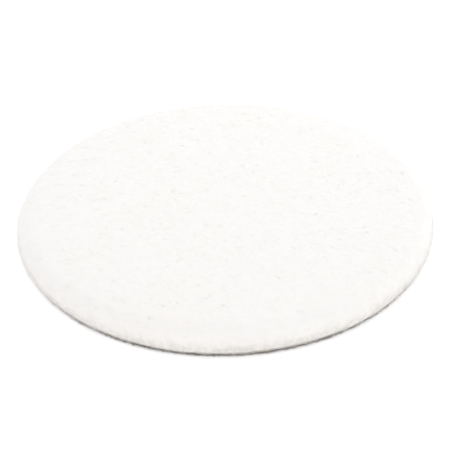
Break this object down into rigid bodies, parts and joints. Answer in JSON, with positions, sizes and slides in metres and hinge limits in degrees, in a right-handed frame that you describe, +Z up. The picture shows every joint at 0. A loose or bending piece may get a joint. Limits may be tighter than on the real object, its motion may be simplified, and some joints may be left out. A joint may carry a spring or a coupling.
{
  "type": "felt polishing disc",
  "caption": "Flat round pad of thick white wool felt with a softly rolled edge, bonded to a light cloth and a loop cloth that grips a hook-faced plate.",
  "frame": {"origin": "centre of the loop cloth's lower face, the surface that the disc lies on", "axes": "+Z up through the disc's centre, from the loop cloth to the polishing face; X and Y lie in the disc's plane and are interchangeable"},
  "size_m": [0.1524, 0.1524, 0.0117],
  "materials": {
    "wool_felt": "white pressed wool, brushed nap",
    "hot_melt": "set hot-melt adhesive",
    "backing": "warm light-grey woven cloth, cut edge",
    "loops": "dark warm-grey brushed nylon loops"
  },
  "bodies": {
    "root": {"felt_disc": "wool_felt", "felt_bond_film": "hot_melt", "backing_cloth": "backing", "loop_bond_film": "hot_melt", "loop_cloth": "loops"}
  },
  "joints": []
}
